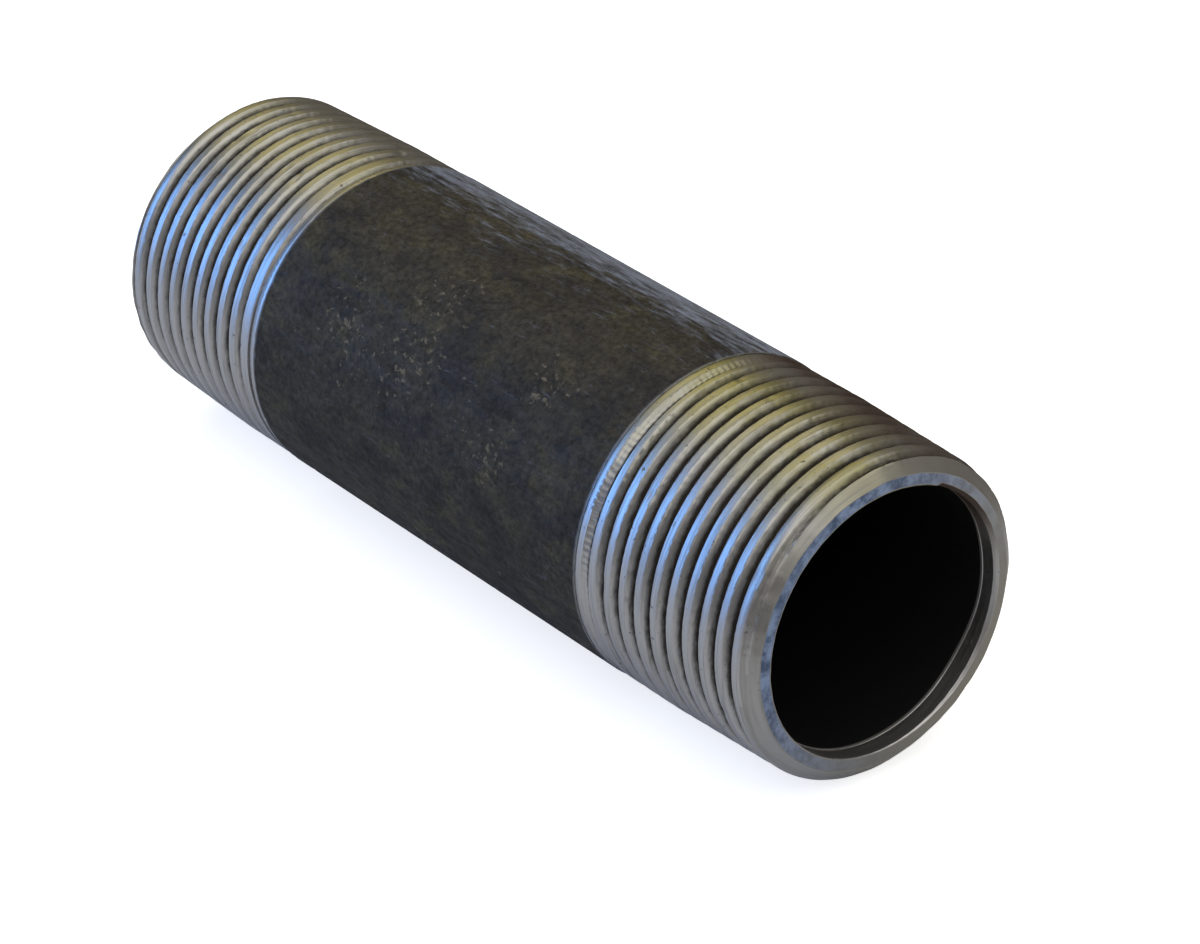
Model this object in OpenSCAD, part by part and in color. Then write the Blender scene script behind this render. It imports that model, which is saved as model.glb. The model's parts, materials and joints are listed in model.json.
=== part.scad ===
// Black steel pipe nipple: a short pipe with a right-hand taper thread on both ends.
// The pipe's axis is X and its middle is the origin. All sizes are in millimetres.
// The three nodes are zones of one piece of steel, and they meet face to face.

/* [Pipe] */
// Overall length, end face to end face
nipple_length = 100; // [64:0.5:300]
// Outside diameter of the unthreaded barrel
pipe_diameter = 33.4; // [33:0.1:33.8]
// Wall thickness of the pipe
wall = 3.38; // [3:0.01:3.6]
// Leg of the small bevel at each mouth of the bore
mouth_bevel = 0.3; // [0.1:0.05:0.6]

/* [Thread] */
// Threads per inch
threads_per_inch = 11.5; // [11:0.5:12]
// Length of the zone that the die has cut, at each end
thread_length = 24.1; // [22:0.1:26]
// Length with full-depth thread, measured from the end face
full_thread_length = 17.3; // [15:0.1:18.5]
// Pitch diameter of the taper thread at the end face
pitch_diameter = 30.83; // [30.7:0.01:30.9]
// Flat cut off each crest, as a share of the pitch
crest_cut = 0.12; // [0.04:0.01:0.16]
// Flat left in each root, as a share of the pitch
root_cut = 0.04; // [0.03:0.01:0.1]
// Depth that the die takes off the pipe where the thread runs out
die_step = 0.1; // [0.05:0.01:0.2]
// Distance from the front end face to the first groove, along the top of the pipe
front_groove = 1.24; // [0:0.01:2.2]
// Distance from the back end face to the first groove, along the top of the pipe
back_groove = 0.85; // [0:0.01:2.2]

/* [End bevel] */
// Diameter of the flat end face
face_diameter = 29.4; // [28.4:0.1:30]
// Length of the bevel from the end face to the first crest
end_bevel_length = 1.3; // [0.8:0.1:2]

/* [Hidden] */

// Sides of the faceted thread, and the smoothness of the true cylinders
thread_sides = 48;
$fn = 96;

pipe_radius = pipe_diameter / 2;
bore_radius = pipe_radius - wall;
barrel_length = nipple_length - 2 * thread_length;
pitch = 25.4 / threads_per_inch;

// A taper thread grows by 1 in 16 on the diameter
taper = 1 / 32;
// Height of the sharp 60 degree V before its crest and root are cut
sharp_height = pitch * sqrt(3) / 2;
// Half the width that a 60 degree V gains for each unit of its depth
flank = tan(30);
land_radius = pipe_radius - die_step;
// Where the rising root would meet the pipe, a little past the cut zone
runout_end = thread_length + 1.4;
// Least axial gap between the corners of a crest and a root
corner_gap = 0.02;
// Overshoot that keeps cuts clear of coincident faces
over = 1;

black_scale = [0.10, 0.10, 0.11];
cut_steel = [0.46, 0.46, 0.47];

function pitch_radius(z) = pitch_diameter / 2 + taper * z;
function sharp_crest(z) = pitch_radius(z) + sharp_height / 2;
function sharp_root(z) = pitch_radius(z) - sharp_height / 2;

// Crests follow the taper until the pipe itself limits them
function crest_radius(z) = min(sharp_crest(z) - crest_cut * pitch, land_radius);

// Roots follow the taper, then rise as the die's lead-in teeth leave the metal
function root_rise(z) =
    let (full_depth = crest_radius(full_thread_length) - sharp_root(full_thread_length))
    max(0, z - full_thread_length) / (runout_end - full_thread_length) * full_depth;
function root_radius(z) = min(sharp_root(z) + root_cut * pitch + root_rise(z), land_radius);

// Half widths of the flats in the root and on the crest
function root_half(z) =
    min((root_radius(z) - sharp_root(z)) * flank, pitch / 2 - 2 * corner_gap);
function crest_half(z) =
    min((sharp_crest(z) - crest_radius(z)) * flank, pitch / 2 - root_half(z) - corner_gap);

// Radius of the thread at height z, where "phase" is the distance to the nearest groove
function thread_radius(z, phase) =
    let (from_root = abs(phase - pitch * round(phase / pitch)))
    let (run = pitch / 2 - root_half(z) - crest_half(z))
    let (climb = min(1, max(0, (from_root - root_half(z)) / run)))
    root_radius(z) + climb * (crest_radius(z) - root_radius(z));

// Each turn has four corner lines: both sides of a groove, then both sides of a crest
function groove_at(turn, angle, first_groove) =
    first_groove + pitch * (turn + angle / 360);
function corner_offset(corner, z) =
    [-root_half(z), root_half(z), pitch / 2 - crest_half(z), pitch / 2 + crest_half(z)][corner];
function corner_height(row, angle, first_groove) =
    let (turn = floor(row / 4))
    let (z = groove_at(turn, angle, first_groove))
    z + corner_offset(row - 4 * turn, z);

// A solid screw along +Z whose outer surface is a grid of columns and helical rows.
// Rows that run off either end share one vertex at that end.
module screw_solid(first_groove) {
    last_row = 4 * (ceil(thread_length / pitch) + 3);
    first_row = -4 * 3;
    step = 360 / thread_sides;
    low = [for (j = [0 : thread_sides - 1])
        max([for (i = [first_row : last_row]) if (corner_height(i, j * step, first_groove) <= 0) i])];
    high = [for (j = [0 : thread_sides - 1])
        min([for (i = [first_row : last_row])
            if (corner_height(i, j * step, first_groove) >= thread_length) i])];
    // Index of each column's first vertex
    base = [for (j = 0, n = 0; j <= thread_sides;
        n = n + (j < thread_sides ? high[j] - low[j] + 1 : 0), j = j + 1) n];
    wall_points = [for (j = [0 : thread_sides - 1]) for (i = [low[j] : high[j]])
        let (angle = j * step)
        let (z = min(thread_length, max(0, corner_height(i, angle, first_groove))))
        let (r = thread_radius(z, z - groove_at(0, angle, first_groove)))
        [r * cos(angle), r * sin(angle), z]];
    outer_end = len(wall_points);
    inner_end = outer_end + 1;
    points = concat(wall_points, [[0, 0, 0], [0, 0, thread_length]]);

    // The last column joins the first one turn further up
    function vertex(j, i) = j == thread_sides
        ? vertex(0, i + 4)
        : base[j] + min(high[j], max(low[j], i)) - low[j];

    wall_faces = [for (j = [0 : thread_sides - 1]) for (i = [first_row : last_row])
        let (a = vertex(j, i))
        let (b = vertex(j + 1, i))
        let (c = vertex(j + 1, i + 1))
        let (d = vertex(j, i + 1))
        each [[a, d, c], [a, c, b]]];
    cap_faces = [for (j = [0 : thread_sides - 1])
        each [
            [outer_end, vertex(j, first_row), vertex(j + 1, first_row)],
            [inner_end, vertex(j + 1, last_row), vertex(j, last_row)]
        ]];
    polyhedron(points, [for (f = concat(wall_faces, cap_faces))
        if (f[0] != f[1] && f[1] != f[2] && f[2] != f[0]) f]);
}

// Bore with a bevelled mouth at z = 0
module bore_cut(length) {
    translate([0, 0, -over]) cylinder(h = length + 2 * over, r = bore_radius);
    mouth_radius = bore_radius + mouth_bevel + over;
    translate([0, 0, -over])
        cylinder(h = mouth_bevel + over, r1 = mouth_radius, r2 = bore_radius);
}

// Ring outside the end bevel, with the bevel's cone as its inner wall
module end_bevel_cut() {
    face_radius = face_diameter / 2;
    slope = (crest_radius(end_bevel_length) - face_radius) / end_bevel_length;
    far_radius = face_radius + slope * (end_bevel_length + over);
    rotate_extrude() polygon([
        [face_radius - slope * over, -over],
        [pipe_radius + 2 * over, -over],
        [pipe_radius + 2 * over, end_bevel_length + over],
        [far_radius, end_bevel_length + over]
    ]);
}

// A threaded end along +Z, with the pipe's end face at z = 0
module threaded_end(first_groove) {
    difference() {
        screw_solid(first_groove);
        bore_cut(thread_length);
        end_bevel_cut();
    }
}

module barrel() {
    color(black_scale)
    translate([-barrel_length / 2, 0, 0])
    rotate([0, 90, 0])
    difference() {
        cylinder(h = barrel_length, r = pipe_radius);
        translate([0, 0, -over]) cylinder(h = barrel_length + 2 * over, r = bore_radius);
    }
}

module thread_front() {
    color(cut_steel)
    translate([nipple_length / 2, 0, 0])
    rotate([0, -90, 0])
    threaded_end(front_groove);
}

// Turned end for end, so the top of the pipe lies half a turn further round the screw
module thread_back() {
    color(cut_steel)
    translate([-nipple_length / 2, 0, 0])
    rotate([0, 90, 0])
    threaded_end(back_groove - pitch / 2);
}

barrel();
thread_front();
thread_back();
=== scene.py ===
"""Looks for the black steel pipe nipple. Metres, pipe axis along X, middle of the pipe at the origin.

Three detailed meshes stand for the three CAD nodes. They are worked out in millimetres in the
pipe's own cylindrical coordinates (angle, height along the axis) and placed where the CAD says.
"""

import json
import math

import bpy
import numpy as np
from mathutils import Matrix, Vector


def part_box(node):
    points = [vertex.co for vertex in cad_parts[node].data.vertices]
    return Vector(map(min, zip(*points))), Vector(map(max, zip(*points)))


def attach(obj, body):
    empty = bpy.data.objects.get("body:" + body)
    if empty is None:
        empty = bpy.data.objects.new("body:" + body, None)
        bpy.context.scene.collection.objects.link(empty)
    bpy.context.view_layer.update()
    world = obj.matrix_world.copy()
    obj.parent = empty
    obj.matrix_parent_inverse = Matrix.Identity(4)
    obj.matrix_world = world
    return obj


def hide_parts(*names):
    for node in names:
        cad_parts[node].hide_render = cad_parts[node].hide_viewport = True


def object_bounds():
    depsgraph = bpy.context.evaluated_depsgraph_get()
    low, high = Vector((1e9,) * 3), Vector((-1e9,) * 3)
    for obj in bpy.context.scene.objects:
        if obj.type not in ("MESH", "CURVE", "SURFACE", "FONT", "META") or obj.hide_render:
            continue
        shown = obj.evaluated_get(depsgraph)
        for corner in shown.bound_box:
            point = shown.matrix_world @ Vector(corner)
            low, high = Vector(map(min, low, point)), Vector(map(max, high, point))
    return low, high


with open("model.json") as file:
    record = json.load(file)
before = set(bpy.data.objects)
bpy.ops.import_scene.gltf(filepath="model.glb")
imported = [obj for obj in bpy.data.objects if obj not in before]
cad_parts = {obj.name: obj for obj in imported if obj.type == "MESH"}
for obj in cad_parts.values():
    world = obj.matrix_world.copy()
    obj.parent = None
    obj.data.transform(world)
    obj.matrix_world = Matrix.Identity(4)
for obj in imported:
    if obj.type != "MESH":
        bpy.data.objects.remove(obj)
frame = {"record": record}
cad_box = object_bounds()

MM = 0.001

# ---------------------------------------------------------------- sizes taken from the frame
pipe_corner = cad_box[1]
barrel_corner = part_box("barrel")[1]
HALF_LENGTH = pipe_corner.x / MM
PIPE_RADIUS = barrel_corner.z / MM
HALF_BARREL = barrel_corner.x / MM
THREAD_LENGTH = HALF_LENGTH - HALF_BARREL
BORE_RADIUS = next(m for m in frame["record"]["mounts"] if m["name"] == "bore")["dims"]["r_mm"]

# ---------------------------------------------------------------- the taper thread, in millimetres
# Pitch, taper, crest line and groove places are those of the CAD
PITCH = 25.4 / 11.5
TAPER = 1 / 32
END_PITCH_RADIUS = 30.83 / 2
SHARP_HEIGHT = PITCH * math.sqrt(3) / 2
CREST_CUT = 0.12 * PITCH
FLANK = math.tan(math.radians(30))
DIE_STEP = 0.1
LAND_RADIUS = PIPE_RADIUS - DIE_STEP
FRONT_GROOVE = 1.24
BACK_GROOVE = 0.85
FACE_RADIUS = 14.7
END_BEVEL = 1.3
# The worn thread is shallower than the CAD's: broad round crests, and painted shade in the roots
FULL_THREAD = 20.0
GROOVE_DEPTH = 1.0
ROOT_HALF = 0.05
CREST_ROUND = 0.16
# The die's last tooth leaves a plain band beside the barrel, with a narrow groove before it
FRONT_BAND = 2.0
BACK_BAND = 1.1
BAND_START = THREAD_LENGTH - FRONT_BAND
# Rings of the front band: (height from the barrel, radius from the land)
BAND_RINGS = ((-1.72, -0.65), (-1.56, -0.34), (-1.25, -0.22), (-0.92, -0.10), (-0.80, -0.02),
              (-0.45, -0.01), (-0.08, 0.0), (0.0, -0.03))
BAND_GROOVE_DEPTH = 0.65
# The chatter ticks lie between these heights from the barrel
CHATTER_FROM = -1.6
CHATTER_TO = -0.9
# A shallow ream inside the mouth
REAM_DEPTH = 0.06
REAM_LENGTH = 1.9
# Shares of the end face's width that have a ring of vertices
FACE_RINGS = (0.1, 0.5, 0.9)
# Number of rings before the scaled bore, and the heights of the last rings in it
REAM_RINGS = 8
BORE_STOPS = (8.0, 16.0, THREAD_LENGTH)

# ---------------------------------------------------------------- where the oil and painted warm light, the painted dark side and the painted sheen lie
# Angles are measured round the pipe from the top, towards the side at +Y
# One side is painted dark brown: painted shade where the metal faces the room's shaded side
DARK_SIDE_ANGLE = math.radians(40)
DARK_SIDE_REACH = math.radians(34)
DARK_SIDE_AT_BACK = 0.4
# The olive on top: oil, and warm light painted on the top
TOP_LIGHT_REACH = math.radians(38)
TOP_LIGHT_AT_BACK = 0.55
# These two are measured in each end's own angle
BURR_ANGLE = math.radians(25)
# The end faces are painted bluer towards this side: a painted reflection of the blue window
WINDOW_BLUE_ANGLE = math.radians(-50)
# The side of the barrel with scuffs and a painted blue-grey sheen
SHEEN_ANGLE = math.radians(35)
SHEEN_REACH = 0.5

# ---------------------------------------------------------------- camera
CAMERA_AZIMUTH = math.radians(51.84)
CAMERA_ELEVATION = math.radians(28.89)
CAMERA_DISTANCE = 451.65 * MM
LENS = 139.47
# Where the middle of the pipe lies from the middle of the picture
PIPE_LEFT = 5.26 * MM
PIPE_UP = 5.40 * MM

# ---------------------------------------------------------------- mesh density
COLUMNS = 600
ROWS_PER_TURN = 12
BARREL_ROWS = 150
CHATTER_TICKS = 150
NICKS = 60


def ripple(angle, height, rounds, per_mm, terms, seed):
    """Smooth noise about 0, mostly within -1.5 to 1.5, that closes on itself round the pipe.

    It has up to `rounds` waves a turn and up to `per_mm` waves a millimetre along the pipe.
    """
    draw = np.random.default_rng(seed)
    total = np.zeros(np.broadcast(angle, height).shape)
    for _ in range(terms):
        waves = draw.integers(0, rounds + 1)
        along = draw.uniform(-per_mm, per_mm) * 2 * math.pi
        total += np.cos(waves * angle + along * height + draw.uniform(0, 2 * math.pi))
    return total / math.sqrt(terms)


# ---------------------------------------------------------------- thread shape
def crest_radius(z):
    """Crests follow the taper until the pipe's own size limits them."""
    return np.minimum(END_PITCH_RADIUS + TAPER * z + SHARP_HEIGHT / 2 - CREST_CUT, LAND_RADIUS)


def groove_depth(z):
    """Shallow where the groove starts, full, then shallower as the die's teeth leave the metal."""
    start = 0.6 + 0.4 * np.clip((z - 0.5) / 1.5, 0, 1)
    leaving = np.clip((z - FULL_THREAD) / (BAND_START - FULL_THREAD), 0, 1)
    return GROOVE_DEPTH * start * (1 - 0.35 * leaving)


def end_bevel(z):
    """Radius of the bevel that leads from the end face to the first crest."""
    slope = (crest_radius(END_BEVEL) - FACE_RADIUS) / END_BEVEL
    return FACE_RADIUS + slope * z


def soft_min(a, b, blend):
    """The lesser of a and b, rounded where they cross."""
    share = np.clip(0.5 + 0.5 * (b - a) / blend, 0, 1)
    return b + (a - b) * share - blend * share * (1 - share)


def groove_distance(angle, z, first_groove):
    """Distance along the pipe to the middle of the nearest groove."""
    phase = z - first_groove - PITCH * angle / (2 * math.pi)
    return np.abs(phase - PITCH * np.round(phase / PITCH))


def nicks(angle, z, seed):
    """Depth of the small dents that handling has left on the crests."""
    draw = np.random.default_rng(seed)
    total = np.zeros(z.shape)
    for _ in range(NICKS):
        t0, z0 = draw.uniform(0, 2 * math.pi), draw.uniform(0, THREAD_LENGTH - 2)
        wide, tall = draw.uniform(0.25, 0.8), draw.uniform(0.2, 0.5)
        deep = draw.uniform(0.03, 0.14)
        turn = (angle - t0 + math.pi) % (2 * math.pi) - math.pi
        total += deep * np.exp(-(turn * PIPE_RADIUS / wide) ** 2 - ((z - z0) / tall) ** 2)
    return total


def outer_radius(angle, z, first_groove, seed):
    """Radius of the threaded surface, with its worn crests, uneven groove edges and nicks."""
    angle, z = np.broadcast_arrays(angle, z)
    crest, depth = crest_radius(z), groove_depth(z)
    uneven = 0.012 * ripple(angle, z, 140, 1.2, 60, seed)
    from_root = groove_distance(angle, z, first_groove) + uneven
    flank = crest - depth + np.maximum(from_root - ROOT_HALF, 0) / FLANK
    worn = crest - 0.01 - 0.003 * ripple(angle, z, 24, 0.3, 24, seed + 1)
    r = soft_min(flank, worn, CREST_ROUND)
    r = r - nicks(angle, z, seed + 2)
    bevel = end_bevel(z) + 0.03 * ripple(angle, 0 * z, 40, 0, 24, seed + 3)
    bevel = bevel - 0.008 * np.maximum(ripple(angle, z, 120, 2.0, 60, seed + 7), 0) ** 2
    return np.clip(soft_min(r, bevel, 0.12), FACE_RADIUS - 0.1, LAND_RADIUS)


def helical_rows(first_groove, top):
    """Heights (row, column) of the screw's rows, up to `top`: lines on the root, flanks and crest."""
    turns = int(THREAD_LENGTH / PITCH) + 3
    angle = np.arange(COLUMNS) * 2 * math.pi / COLUMNS
    rows = []
    for turn in range(-2, turns):
        centre = first_groove + PITCH * (turn + angle / (2 * math.pi))
        z = np.clip(centre, 0, top)
        width = groove_depth(z) * FLANK
        stops = [0 * z, ROOT_HALF + 0.02 + 0.1 * width, ROOT_HALF + 0.55 * width]
        stops += [ROOT_HALF + 0.88 * width, ROOT_HALF + 1.08 * width + 0.02]
        stops.append(stops[-1] + 0.4 * (PITCH / 2 - stops[-1]))
        rows += [centre + d for d in stops]
        rows.append(centre + PITCH / 2 + 0 * z)
        rows += [centre + PITCH - d for d in reversed(stops[1:])]
    return angle, np.clip(np.array(rows), 0, top)


def placed(angle, z, r, end):
    """Points of a threaded end, in the pipe's frame and in millimetres.

    z is the height from the end face, and end is +1 for the front end and -1 for the back.
    """
    x = end * (HALF_LENGTH - z)
    return np.stack([x, r * np.sin(angle), end * r * np.cos(angle)], axis=-1)


# ---------------------------------------------------------------- meshes
def grid_faces(count_rows, columns, start, shift=0):
    """Quads of a grid whose last column joins the first one, `shift` rows further on."""
    row, col = np.meshgrid(np.arange(count_rows - 1), np.arange(columns), indexing="ij")
    beside = (col + 1) % columns
    step = np.where(col + 1 == columns, shift, 0)
    inside = row + 1 + step < count_rows
    row, col, beside, step = row[inside], col[inside], beside[inside], step[inside]
    a = start + row * columns + col
    b = start + (row + step) * columns + beside
    c = start + (row + 1 + step) * columns + beside
    d = start + (row + 1) * columns + col
    return np.stack([a, b, c, d], axis=-1)


def welded_mesh(name, points, quads, values):
    """A mesh in metres from points in millimetres. Equal points are joined and empty faces dropped."""
    keys = np.round(points * 1e5).astype(np.int64)
    _, first, inverse = np.unique(keys, axis=0, return_index=True, return_inverse=True)
    quads = inverse.reshape(-1)[quads]
    following = np.roll(quads, -1, axis=1)
    same = quads == following
    faces = [tuple(q) for q in quads[same.sum(1) == 0].tolist()]
    for corners, repeated in zip(quads[same.sum(1) == 1], same[same.sum(1) == 1]):
        faces.append(tuple(corners[~repeated].tolist()))
    faces = [f for f in faces if len(set(f)) == len(f)]
    mesh = bpy.data.meshes.new(name)
    mesh.from_pydata((points[first] * MM).tolist(), [], faces)
    for key, value in values.items():
        mesh.attributes.new(key, "FLOAT", "POINT").data.foreach_set(
            "value", value[first].astype(np.float32))
    mesh.polygons.foreach_set("use_smooth", np.ones(len(mesh.polygons), bool))
    mesh.update()
    mesh.set_sharp_from_angle(angle=math.radians(38))
    piece = bpy.data.objects.new(name, mesh)
    bpy.context.scene.collection.objects.link(piece)
    return piece


def mouth_width(angle):
    """Width of the bevel inside the mouth: thin, then wide after a burr on one side."""
    past_burr = (angle - BURR_ANGLE) % (2 * math.pi)
    wide = np.clip(past_burr / 0.03, 0, 1) * np.clip((math.radians(150) - past_burr) / 1.2, 0, 1)
    return 0.07 + 0.30 * wide + 0.015 * ripple(angle, 0 * angle, 60, 0, 24, 5)


def side_band(angle, end, centre, reach, steepness):
    """Share of a band along one side of the pipe: 1 at its centre, fading past its reach."""
    around = angle if end > 0 else math.pi - angle
    away = np.abs((around - centre + math.pi) % (2 * math.pi) - math.pi)
    return np.exp(-(away / reach) ** steepness)


def dark_side_share(angle, end):
    """Share of the dark brown painted along one side as painted shade. The back end has less of it."""
    return (1.0 if end > 0 else DARK_SIDE_AT_BACK) * side_band(angle, end, DARK_SIDE_ANGLE, DARK_SIDE_REACH, 4)


def oil_and_top_light_share(angle, end):
    """Share of the clear oil on top of the pipe, with the warm light that falls on the top painted in too.
    The back end has less of it.
    """
    return (1.0 if end > 0 else TOP_LIGHT_AT_BACK) * side_band(angle, end, 0.0, TOP_LIGHT_REACH, 2)


def mouth_rings(angle, edge, seed):
    """Rings (radius, height) from the end face's outer edge, in through the mouth and down the bore."""
    flat = 0 * angle
    bevel = mouth_width(angle)
    reamed = BORE_RADIUS + REAM_DEPTH
    mouth = reamed + bevel
    step = REAM_LENGTH + 0.12 * ripple(angle, flat, 8, 0, 12, seed + 4)
    rings = [(edge, flat)]
    rings += [(edge + (mouth - edge) * share, flat) for share in FACE_RINGS]
    rings += [(mouth, flat), (reamed, bevel), (reamed, step - 0.05), (BORE_RADIUS, step)]
    rings.append((BORE_RADIUS, step + 0.3))
    return rings + [(BORE_RADIUS, stop) for stop in BORE_STOPS]


def band_rings(angle, last, seed, band, groove_share):
    """Rings (radius, height) over the plain band, from the barrel back to the screw's last row."""
    flat = 0 * angle
    strength = 1 + 0.7 * ripple(angle, flat, 9, 0, 12, seed + 6)
    ticks = 0.05 * (0.5 + 0.5 * np.cos(CHATTER_TICKS * angle)) * strength
    uneven = 0.03 * ripple(angle, flat, 90, 0, 30, seed + 5)
    rings = []
    for back, drop in reversed(BAND_RINGS):
        cut = ticks if CHATTER_FROM < back < CHATTER_TO else flat
        shift = flat if back in (BAND_RINGS[0][0], BAND_RINGS[-1][0]) else uneven
        radius = LAND_RADIUS + drop * groove_share - cut
        height = THREAD_LENGTH + (back + shift) * band / FRONT_BAND
        rings.append((np.minimum(radius, LAND_RADIUS), np.minimum(height, THREAD_LENGTH)))
    top = THREAD_LENGTH - band
    rings.append((np.minimum(last, LAND_RADIUS - BAND_GROOVE_DEPTH * groove_share), top))
    return rings + [(last, top)]


def thread_piece(name, first_groove, end, seed, band, groove_share):
    """A threaded end: the screw's rows outside, then rings over its face, mouth, bore and band."""
    angle, heights = helical_rows(first_groove, THREAD_LENGTH - band)
    turn_angle = np.broadcast_to(angle, heights.shape)
    outer = outer_radius(turn_angle, heights, first_groove, seed)
    edge = outer_radius(angle, 0 * angle, first_groove, seed)
    inner = mouth_rings(angle, edge, seed)
    rings = inner + band_rings(angle, outer[-1], seed, band, groove_share)
    ring_r = np.array([r + 0 * angle for r, _ in rings])
    ring_z = np.array([z + 0 * angle for _, z in rings])
    ring_angle = np.broadcast_to(angle, ring_r.shape)

    bevel = end_bevel(heights)
    # How deep the surface lies below the crest, which the colour turns into painted shade
    depth = np.clip((np.minimum(crest_radius(heights), bevel) - outer) / GROOVE_DEPTH, 0, 1)
    # The narrow groove before the band is painted dark with shade too
    ring_depth = np.zeros(ring_r.shape)
    ring_depth[-4] = 0.6 * groove_share
    ring_depth[-3:-1] = groove_share
    # The bore past the ream: its scale with painted shade
    scale_and_shade = np.zeros(ring_r.shape)
    scale_and_shade[REAM_RINGS:len(inner)] = 1
    bevelled = 0.2 * (outer > bevel - 0.06)
    face = np.zeros(ring_r.shape)
    # The end face's share, higher towards one side where the window's reflection is painted
    face[1:1 + len(FACE_RINGS)] = 0.7 + 0.3 * np.cos(angle - WINDOW_BLUE_ANGLE)

    points = np.concatenate([
        placed(turn_angle, heights, outer, end).reshape(-1, 3),
        placed(ring_angle, ring_z, ring_r, end).reshape(-1, 3)])
    quads = np.concatenate([
        grid_faces(len(heights), COLUMNS, 0, ROWS_PER_TURN),
        grid_faces(len(rings), COLUMNS, heights.size)[:, ::-1]])
    values = {
        "depth": (depth, ring_depth),
        "scale_and_shade": (0 * depth, scale_and_shade),
        "face": (bevelled, face),
        "dark_side": (dark_side_share(turn_angle, end), dark_side_share(ring_angle, end)),
        "oil_and_top_light": (oil_and_top_light_share(turn_angle, end), oil_and_top_light_share(ring_angle, end))}
    joined = {key: np.concatenate([a.reshape(-1), b.reshape(-1)]) for key, (a, b) in values.items()}
    return welded_mesh(name, points, quads, joined)


# Dusty patches on the barrel: (x in mm, angle in degrees from the top towards +Y, reach in mm)
DUSTY = ((-3, -56, 7), (-3, -32, 5), (11, -70, 5), (-13, -58, 6), (14, -40, 4),
         (-8, 40, 6), (6, 95, 7), (-15, 150, 6), (10, 175, 6), (0, -130, 6))


def barrel_piece(name):
    """The barrel: pitted skin, bare edges beside the threads, and the plain bore.

    Its angle runs from the top towards the side at -Y.
    """
    angle = np.arange(COLUMNS) * 2 * math.pi / COLUMNS
    x = np.linspace(-HALF_BARREL, HALF_BARREL, BARREL_ROWS)
    grid_x, grid_t = np.meshgrid(x, angle, indexing="ij")
    pitted = ripple(grid_t, grid_x, 70, 0.7, 60, 41)
    skin = PIPE_RADIUS - 0.012 - 0.03 * np.maximum(pitted, 0) ** 2
    skin[[0, -1]] -= 0.04
    skin = np.minimum(skin, PIPE_RADIUS)
    bore = np.full((1, COLUMNS), BORE_RADIUS)
    grid_r = np.concatenate([bore, skin, bore, bore])
    grid_x = np.concatenate([grid_x[:1], grid_x, grid_x[-1:], grid_x[:1]])
    grid_t = np.broadcast_to(angle, grid_x.shape)
    points = np.stack([grid_x, -grid_r * np.sin(grid_t), grid_r * np.cos(grid_t)], -1).reshape(-1, 3)
    quads = grid_faces(len(grid_x), COLUMNS, 0)
    dust = np.zeros(grid_x.shape)
    for x0, t0, reach in DUSTY:
        turn = (grid_t + math.radians(t0) + math.pi) % (2 * math.pi) - math.pi
        away = np.hypot(grid_x - x0, turn * PIPE_RADIUS) / reach
        dust = np.maximum(dust, np.exp(-away ** 2))
    # The side of the barrel that gets the painted sheen
    side = (grid_t + SHEEN_ANGLE + math.pi) % (2 * math.pi) - math.pi
    sheen_side = np.exp(-(side / SHEEN_REACH) ** 2)
    ragged = 0.02 + 0.06 * ripple(grid_t, grid_x, 120, 0.1, 40, 43)
    bare = np.clip(1 - (HALF_BARREL - np.abs(grid_x) - ragged) / 0.2, 0, 1)
    inside = grid_r < BORE_RADIUS + 0.1
    values = {"dust": dust, "sheen_side": sheen_side, "bare": bare * ~inside, "inside": inside}
    return welded_mesh(name, points, quads, {key: v.reshape(-1) for key, v in values.items()})


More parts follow.
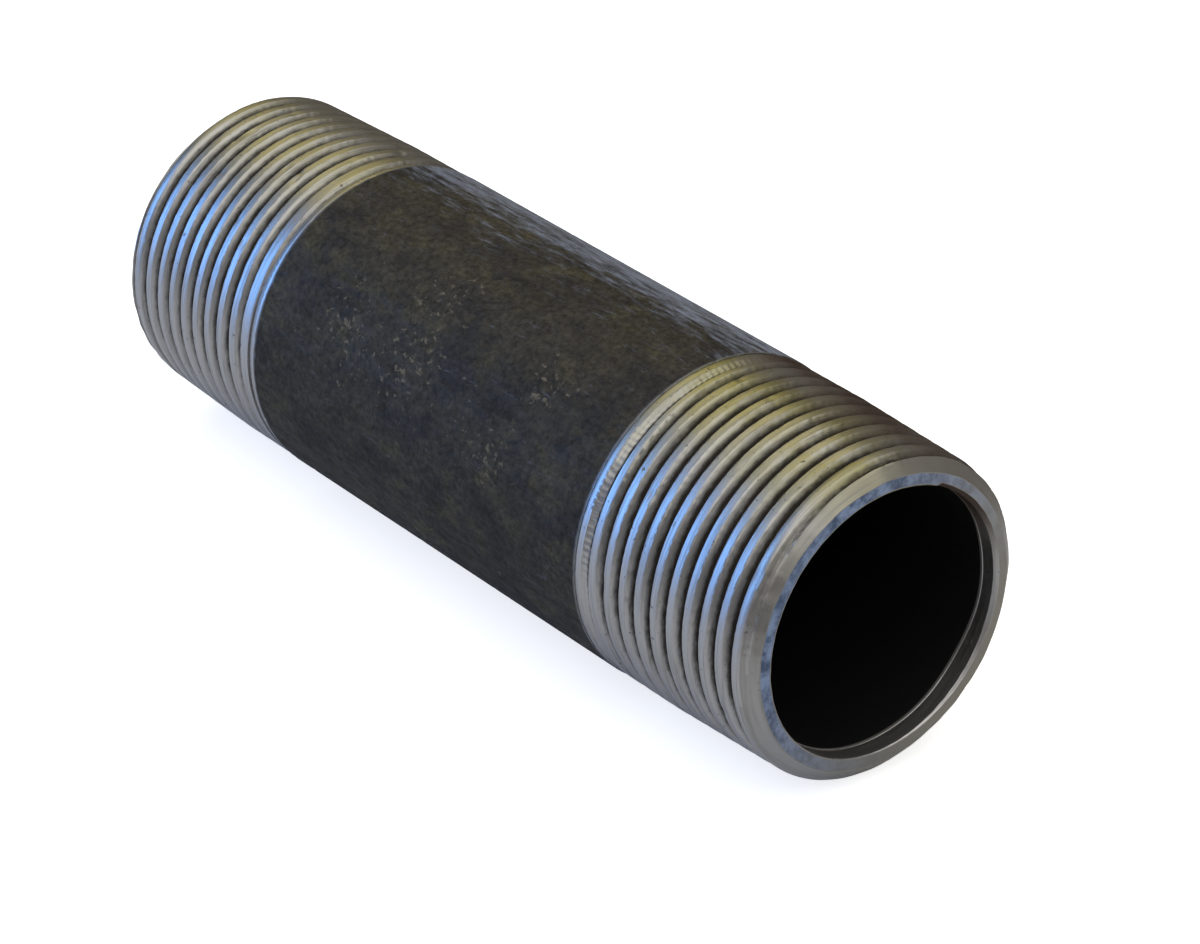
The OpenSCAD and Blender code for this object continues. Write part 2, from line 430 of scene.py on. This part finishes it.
# ---------------------------------------------------------------- materials
class Finish:
    """A material with one Principled shader, and short calls that make the nodes behind it."""

    def __init__(self, name):
        self.material = bpy.data.materials.new(name)
        self.material.use_nodes = True
        self.tree = self.material.node_tree
        self.shader = self.tree.nodes["Principled BSDF"]
        self.position = self.node("ShaderNodeTexCoord").outputs["Object"]

    def node(self, kind, **settings):
        made = self.tree.nodes.new(kind)
        for key, value in settings.items():
            setattr(made, key, value)
        return made

    def feed(self, socket, value):
        """Links an output to a socket, or sets the socket to a plain value."""
        if isinstance(value, bpy.types.NodeSocket):
            self.tree.links.new(value, socket)
        elif isinstance(value, tuple) and len(value) == 3 and socket.type == "RGBA":
            socket.default_value = (*value, 1)
        else:
            socket.default_value = value

    def noise(self, waves_per_mm, detail=4, roughness=0.55, offset=0.0, distortion=0.0):
        """Noise from 0 to 1. waves_per_mm is (along the pipe, across the pipe)."""
        along, across = waves_per_mm
        stretch = self.node("ShaderNodeVectorMath", operation="MULTIPLY_ADD")
        self.feed(stretch.inputs[0], self.position)
        self.feed(stretch.inputs[1], (along / MM, across / MM, across / MM))
        self.feed(stretch.inputs[2], (offset, offset, offset))
        made = self.node("ShaderNodeTexNoise")
        self.feed(made.inputs["Vector"], stretch.outputs[0])
        self.feed(made.inputs["Scale"], 1.0)
        self.feed(made.inputs["Detail"], detail)
        self.feed(made.inputs["Roughness"], roughness)
        self.feed(made.inputs["Distortion"], distortion)
        return made.outputs["Fac"]

    def step(self, value, low, high, to_low=0.0, to_high=1.0):
        """A smooth rise from to_low to to_high as value goes from low to high."""
        made = self.node("ShaderNodeMapRange", interpolation_type="SMOOTHSTEP")
        limits = {"From Min": low, "From Max": high, "To Min": to_low, "To Max": to_high}
        self.feed(made.inputs["Value"], value)
        for key, number in limits.items():
            self.feed(made.inputs[key], number)
        return made.outputs["Result"]

    def math(self, operation, a, b):
        made = self.node("ShaderNodeMath", operation=operation)
        self.feed(made.inputs[0], a)
        self.feed(made.inputs[1], b)
        return made.outputs[0]

    def blend(self, share, a, b):
        made = self.node("ShaderNodeMix", data_type="RGBA")
        self.feed(made.inputs["Factor"], share)
        self.feed(made.inputs[6], a)
        self.feed(made.inputs[7], b)
        return made.outputs[2]

    def blend_number(self, share, a, b):
        made = self.node("ShaderNodeMix", data_type="FLOAT")
        self.feed(made.inputs["Factor"], share)
        self.feed(made.inputs[2], a)
        self.feed(made.inputs[3], b)
        return made.outputs[0]

    def value(self, name):
        """A number that the mesh carries at each vertex."""
        return self.node("ShaderNodeAttribute", attribute_name=name).outputs["Fac"]

    def relief(self, height, depth_mm, under=None):
        """A bump of depth_mm where height goes from 0 to 1, on top of the bump `under`."""
        made = self.node("ShaderNodeBump")
        self.feed(made.inputs["Height"], height)
        self.feed(made.inputs["Strength"], 1.0)
        self.feed(made.inputs["Distance"], depth_mm * MM)
        if under is not None:
            self.feed(made.inputs["Normal"], under)
        return made.outputs["Normal"]

    def finish(self, color, metallic, roughness, normal=None):
        """Feeds the shader's main sockets and returns the material."""
        self.feed(self.shader.inputs["Base Color"], color)
        self.feed(self.shader.inputs["Metallic"], metallic)
        self.feed(self.shader.inputs["Roughness"], roughness)
        if normal is not None:
            self.feed(self.shader.inputs["Normal"], normal)
        return self.material


CHARCOAL = (0.039, 0.034, 0.025)
SCALE_BLACK = (0.027, 0.024, 0.021)
OLIVE_BLACK = (0.056, 0.048, 0.028)
TAN_DUST = (0.15, 0.125, 0.085)
# The bore's black scale, darkened further with painted shade
BORE_SCALE_AND_SHADE = (0.005, 0.005, 0.005)
# Painted sheen: a blue-grey reflection painted into the scale's colour
SHEEN_BLUE_GREY = (0.25, 0.28, 0.355)
RUST = (0.13, 0.05, 0.025)
BARE_EDGE = (0.22, 0.22, 0.22)


def scale_color(finish):
    """Black mill scale: charcoal with blacker and olive patches, fine grain and streaks along the pipe."""
    patches = finish.noise((0.13, 0.17), detail=4, roughness=0.6, offset=3.0)
    olive = finish.noise((0.20, 0.24), detail=5, roughness=0.65, offset=11.0)
    grain = finish.noise((1.5, 1.7), detail=6, roughness=0.75)
    streak = finish.noise((0.15, 0.9), detail=4, offset=7.0)
    color = finish.blend(finish.step(patches, 0.42, 0.62), CHARCOAL, SCALE_BLACK)
    color = finish.blend(finish.step(olive, 0.50, 0.68, 0, 0.8), color, OLIVE_BLACK)
    grain_tone = finish.math("MULTIPLY", finish.step(grain, 0.3, 0.7, 0.55, 1.55),
                        finish.step(streak, 0.3, 0.7, 0.88, 1.12))
    toned = finish.node("ShaderNodeVectorMath", operation="SCALE")
    finish.feed(toned.inputs[0], color)
    finish.feed(toned.inputs["Scale"], grain_tone)
    return toned.outputs[0]


def mill_scale():
    """The barrel: scale with tan flecks, rust specks and scuffs, a blue-grey sheen painted along one side,
    bare edges, and a bore painted near-black: its black scale with painted shade.
    """
    finish = Finish("mill_scale")
    color = scale_color(finish)
    inside = finish.value("inside")
    dust = finish.value("dust")
    fleck = finish.noise((1.2, 1.4), detail=4, roughness=0.62, offset=5.0, distortion=0.2)
    need = finish.math("SUBTRACT", 0.70, finish.math("MULTIPLY", dust, 0.16))
    tan = finish.step(finish.math("SUBTRACT", fleck, need), 0.0, 0.09, 0, 0.8)
    rust = finish.noise((0.9, 1.2), detail=5, roughness=0.7, offset=19.0)
    rust = finish.step(rust, 0.70, 0.76, 0, 0.6)
    color = finish.blend(tan, color, TAN_DUST)
    color = finish.blend(rust, color, RUST)
    # Scuff streaks, with a painted blue-grey sheen laid over them along one side
    scuffs_and_sheen = finish.noise((0.22, 1.1), detail=8, roughness=0.8, offset=45.0)
    sheen_side = finish.math("MULTIPLY", finish.value("sheen_side"), 0.29)
    scuffs_and_sheen = finish.step(finish.math("ADD", scuffs_and_sheen, sheen_side), 0.58, 0.86)
    color = finish.blend(finish.math("MULTIPLY", scuffs_and_sheen, 0.8), color, SHEEN_BLUE_GREY)
    # The bore: its black scale with painted shade
    color = finish.blend(inside, color, BORE_SCALE_AND_SHADE)
    bare = finish.value("bare")
    color = finish.blend(bare, color, BARE_EDGE)
    finish.feed(finish.shader.inputs["Specular IOR Level"], 0.12)
    worn = finish.noise((0.3, 0.9), detail=4, offset=23.0)
    roughness = finish.blend_number(bare, finish.step(worn, 0.3, 0.7, 0.55, 0.75), 0.3)
    normal = finish.relief(finish.noise((2.0, 2.4), detail=7, roughness=0.65, offset=31.0), 0.035)
    normal = finish.relief(finish.noise((0.25, 0.5), detail=3, offset=37.0), 0.08, normal)
    return finish.finish(color, finish.blend_number(bare, 0.0, 0.9), roughness, normal)


CUT_GREY = (0.46, 0.45, 0.44)
CUT_DARK = (0.24, 0.23, 0.21)
OIL_AND_WARM_LIGHT = (0.35, 0.33, 0.175)
# Painted shade in the grooves: the colour the surface darkens to, the deeper it lies
GROOVE_SHADE = (0.022, 0.016, 0.012)
DARK_SIDE_BROWN = (0.06, 0.041, 0.032)
# Mottled blue of the end faces: a painted reflection of the blue window
FACE_BLUE_DARK = (0.09, 0.13, 0.22)
FACE_BLUE_BRIGHT = (0.27, 0.35, 0.52)
FACE_PLAIN = (0.30, 0.29, 0.265)


def cut_steel():
    """The threads: tool lines, oil with warm light painted on top, a dark brown painted shade along one
    side, painted shade where the surface is deep, dark pits, mottled end faces with a painted blue
    reflection on one side, and a bore painted near-black.
    """
    finish = Finish("cut_steel")
    lines = finish.noise((5.0, 0.12), detail=5, roughness=0.6)
    tears = finish.noise((3.2, 0.7), detail=6, roughness=0.7, offset=9.0)
    film_patches = finish.noise((0.12, 0.16), detail=4, offset=15.0)
    # Olive on top: oil tint with painted warm light
    oil_and_top_light = finish.math("MULTIPLY", finish.value("oil_and_top_light"), finish.step(film_patches, 0.36, 0.60, 0.4, 1.0))
    color = finish.blend(oil_and_top_light, CUT_GREY, OIL_AND_WARM_LIGHT)
    color = finish.blend(finish.step(lines, 0.45, 0.75, 0, 0.7), color, CUT_DARK)
    # Darker the deeper the surface lies: painted shade in the grooves, torn at its edges
    ragged = finish.math("MULTIPLY", finish.math("SUBTRACT", tears, 0.5), 0.6)
    shade_depth = finish.math("ADD", finish.value("depth"), ragged)
    shade_and_pits = finish.step(shade_depth, 0.18, 0.70, 0, 0.96)
    # Dark pits on the crests
    pits = finish.noise((2.0, 1.6), detail=4, roughness=0.6, offset=27.0)
    shade_and_pits = finish.math("MAXIMUM", shade_and_pits, finish.step(pits, 0.655, 0.71, 0, 0.7))
    color = finish.blend(shade_and_pits, color, GROOVE_SHADE)
    # Painted shade: dark brown along one side, with less metal shine
    dark_side = finish.math("MULTIPLY", finish.value("dark_side"), finish.step(film_patches, 0.25, 0.6, 0.85, 1.0))
    color = finish.blend(dark_side, color, DARK_SIDE_BROWN)
    face = finish.value("face")
    mottle = finish.noise((0.5, 0.5), detail=6, roughness=0.7, offset=21.0)
    # Mottled blue, strongest on one side: a painted reflection of the window
    window_blue = finish.blend(finish.step(mottle, 0.36, 0.62), FACE_BLUE_DARK, FACE_BLUE_BRIGHT)
    face_color = finish.blend(finish.step(face, 0.4, 1.0), FACE_PLAIN, window_blue)
    color = finish.blend(finish.step(face, 0.0, 0.4), color, face_color)
    # The bore past the ream: its black scale with painted shade
    scale_and_shade = finish.value("scale_and_shade")
    color = finish.blend(scale_and_shade, color, BORE_SCALE_AND_SHADE)
    finish.feed(finish.shader.inputs["Specular IOR Level"], 0.15)
    metallic = finish.step(shade_and_pits, 0.0, 1.0, 1.0, 0.35)
    metallic = finish.math("MULTIPLY", metallic, finish.math("SUBTRACT", 1.0, scale_and_shade))
    metallic = finish.math("MULTIPLY", metallic, finish.step(dark_side, 0.0, 1.0, 1.0, 0.25))
    smooth = finish.step(lines, 0.3, 0.7, 0.36, 0.50)
    roughness = finish.math("ADD", smooth, finish.math("MULTIPLY", shade_and_pits, 0.25))
    roughness = finish.blend_number(scale_and_shade, roughness, 0.6)
    roughness = finish.blend_number(face, roughness, finish.step(mottle, 0.35, 0.65, 0.55, 0.36))
    normal = finish.relief(lines, 0.018)
    normal = finish.relief(tears, 0.015, normal)
    return finish.finish(color, metallic, roughness, normal)


# ---------------------------------------------------------------- stage
FLOOR_Z = -PIPE_RADIUS * MM
FLOOR_REACH = 3.0
FLOOR_WHITE = (0.72, 0.72, 0.72)
FLOOR_GLOW = 0.75
CARD_LIFT = 0.0005
# Painted shade: the colour of the room's dark side, seen only in reflections
SHADE_CARD_BROWN = (0.045, 0.028, 0.018)
ROOM = (0.05, 0.038, 0.03)
BACKDROP = (0.9, 0.9, 0.9)


def make_camera():
    """A long lens that looks down on the front end, with the pipe a little off the picture's middle."""
    sin_a, cos_a = math.sin(CAMERA_AZIMUTH), math.cos(CAMERA_AZIMUTH)
    sin_e, cos_e = math.sin(CAMERA_ELEVATION), math.cos(CAMERA_ELEVATION)
    back = Vector((sin_a * cos_e, -cos_a * cos_e, sin_e))
    right = Vector((cos_a, sin_a, 0))
    up = back.cross(right)
    camera = bpy.data.objects.new("camera", bpy.data.cameras.new("camera"))
    camera.data.lens = LENS
    camera.data.sensor_width = 36
    place = back * CAMERA_DISTANCE + right * PIPE_LEFT - up * PIPE_UP
    turn = Matrix((right, up, back)).transposed()
    camera.matrix_world = Matrix.Translation(place) @ turn.to_4x4()
    camera.data.clip_start = 0.01
    bpy.context.scene.collection.objects.link(camera)
    bpy.context.scene.camera = camera


def area_light(name, towards, distance, size, color, brightness):
    """A soft rectangle that faces the object. brightness is what a mirror would show of it."""
    light = bpy.data.lights.new(name, "AREA")
    light.shape = "RECTANGLE"
    light.size, light.size_y = size
    light.color = color
    light.energy = brightness * math.pi * size[0] * size[1]
    lamp = bpy.data.objects.new(name, light)
    direction = Vector(towards).normalized()
    lamp.location = direction * distance
    lamp.rotation_euler = direction.to_track_quat("Z", "Y").to_euler()
    lamp.visible_camera = False
    bpy.context.scene.collection.objects.link(lamp)


def make_card(name, corners):
    """A dark brown card that only reflections show: painted shade of the room's dark side."""
    mesh = bpy.data.meshes.new(name)
    mesh.from_pydata(corners, [], [(0, 1, 2, 3)])
    card = bpy.data.objects.new(name, mesh)
    card.visible_camera = False
    card.visible_diffuse = False
    card.visible_shadow = False
    bpy.context.scene.collection.objects.link(card)
    card.data.materials.append(Finish(name).finish(SHADE_CARD_BROWN, 0.0, 0.9))


def lying_card(x0, x1, y0, y1):
    """Corners of a card just above the floor."""
    z = FLOOR_Z + CARD_LIFT
    return [(x0, y0, z), (x1, y0, z), (x1, y1, z), (x0, y1, z)]


def standing_card(start, end, top):
    """Corners of a card that stands on the floor, between two points of it."""
    return [(*start, FLOOR_Z), (*end, FLOOR_Z), (*end, top), (*start, top)]


def make_cards():
    """Painted shade of the dark side of the room, seen only in reflections: two cards on the table, and two
    that stand on it.
    """
    make_card("card_left", lying_card(-0.7, 0.03, 0.0, 0.42))
    make_card("card_right", lying_card(0.11, 0.45, -0.5, 0.0))
    make_card("card_behind", standing_card((-0.75, 0.42), (0.42, 0.42), 0.13))
    make_card("card_front", standing_card((0.45, -0.6), (0.45, 0.15), 0.14))


def make_floor():
    """White paper under the pipe, with a glow that only the camera sees."""
    mesh = bpy.data.meshes.new("floor")
    corners = [(x * FLOOR_REACH, y * FLOOR_REACH, FLOOR_Z) for x, y in ((-1, -1), (1, -1), (1, 1), (-1, 1))]
    mesh.from_pydata(corners, [], [(0, 1, 2, 3)])
    floor = bpy.data.objects.new("floor", mesh)
    bpy.context.scene.collection.objects.link(floor)
    paper = Finish("floor_paper")
    paper.finish(FLOOR_WHITE, 0.0, 0.9)
    paper.feed(paper.shader.inputs["Emission Color"], (1.0, 1.0, 1.0))
    seen = paper.node("ShaderNodeLightPath").outputs["Is Camera Ray"]
    paper.feed(paper.shader.inputs["Emission Strength"], paper.step(seen, 0, 1, 0.0, FLOOR_GLOW))
    floor.data.materials.append(paper.material)


def make_world():
    """A pale backdrop for the camera, while the metal reflects a dimmer room."""
    world = bpy.data.worlds.new("world")
    bpy.context.scene.world = world
    world.use_nodes = True
    tree = world.node_tree
    path = tree.nodes.new("ShaderNodeLightPath")
    tint = tree.nodes.new("ShaderNodeMix")
    tint.data_type = "RGBA"
    tint.inputs[6].default_value = (*ROOM, 1)
    tint.inputs[7].default_value = (*BACKDROP, 1)
    tree.links.new(path.outputs["Is Camera Ray"], tint.inputs["Factor"])
    tree.links.new(tint.outputs[2], tree.nodes["Background"].inputs["Color"])


make_camera()
make_floor()
make_world()
make_cards()
# Each light: direction it stands in, distance, size, colour, brightness
area_light("window", (-0.69, -0.64, 0.30), 0.8, (0.5, 0.5), (0.18, 0.43, 1.0), 4.6)
area_light("warm_wall", (-0.69, 0.30, 0.66), 1.0, (0.7, 0.5), (1.0, 0.87, 0.36), 1.15)
area_light("far_wall", (0.85, 0.42, 0.40), 1.2, (0.6, 0.5), (1.0, 0.95, 0.62), 0.4)
area_light("overhead", (0.3, -0.1, 1.0), 1.2, (2.6, 2.6), (1, 1, 1), 1.25)

front = thread_piece("thread_front_cut", FRONT_GROOVE, 1, 100, FRONT_BAND, 1.0)
back = thread_piece("thread_back_cut", BACK_GROOVE - PITCH / 2, -1, 200, BACK_BAND, 0.35)
barrel = barrel_piece("barrel_scaled")
steel = cut_steel()
scale = mill_scale()
for piece, node, slot, material in (
        (front, "thread_front", "cut_steel", steel),
        (back, "thread_back", "cut_steel", steel),
        (barrel, "barrel", "black_scale", scale)):
    piece.data.materials.append(material)
    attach(piece, "root")
    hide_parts(node)

bpy.context.scene.view_settings.view_transform = "Standard"
